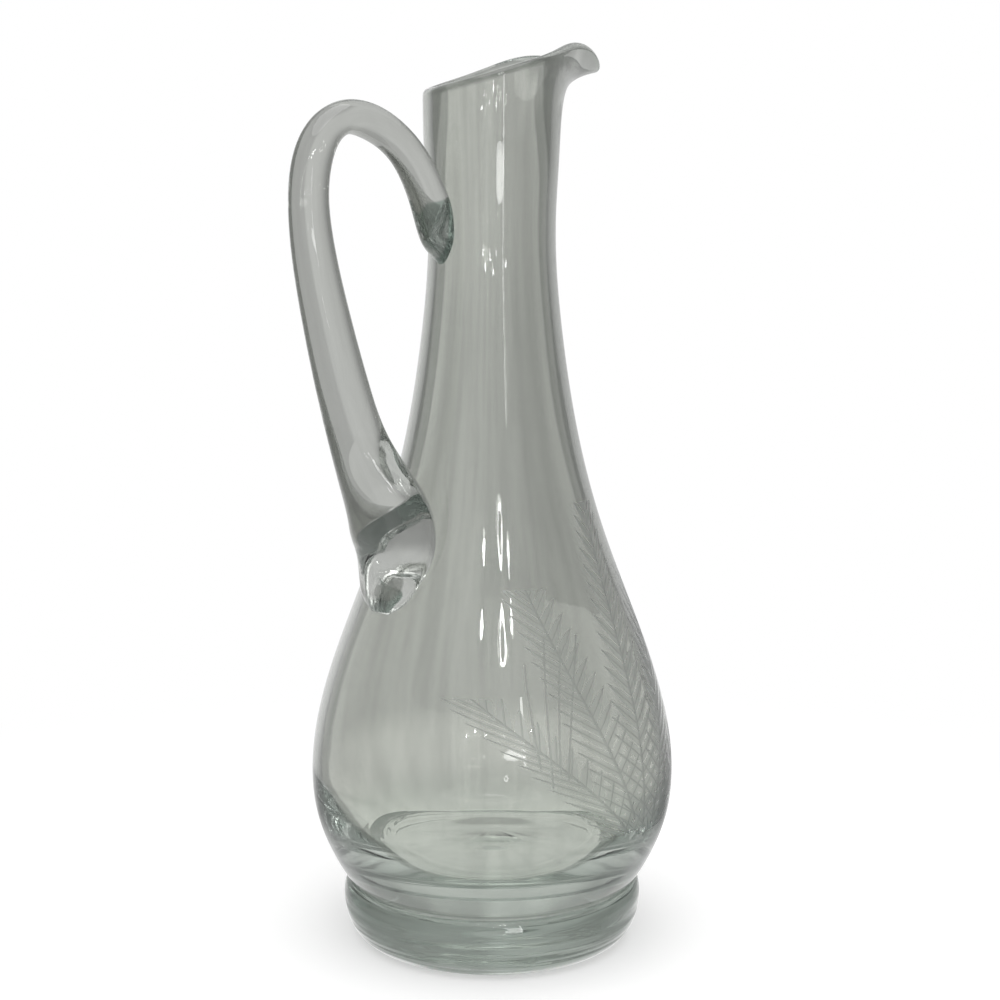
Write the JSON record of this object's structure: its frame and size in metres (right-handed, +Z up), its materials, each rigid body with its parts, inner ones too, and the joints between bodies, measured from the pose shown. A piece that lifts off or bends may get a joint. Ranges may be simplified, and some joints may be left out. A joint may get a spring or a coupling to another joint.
{
  "type": "glass bar carafe",
  "caption": "Footed clear glass carafe with a swelling bowl, a slim neck, a slanted mouth with a pouring lip, and a drawn loop handle.",
  "frame": {"origin": "centre of the foot's flat underside", "axes": "+Z up through the neck, +X toward the pouring lip, the handle toward -X"},
  "size_m": [0.1401, 0.1228, 0.3026],
  "materials": {
    "bowl_glass": "clear, fire-polished, with faint vertical draw lines and a frosted etched spray on one side",
    "foot_glass": "clear, thick, faintly green where it is deep, with turned marks round its side",
    "handle_glass": "clear, drawn, with fine lines along its length"
  },
  "bodies": {
    "root": {"bowl_and_neck": "bowl_glass", "foot": "foot_glass", "handle": "handle_glass"}
  },
  "joints": []
}
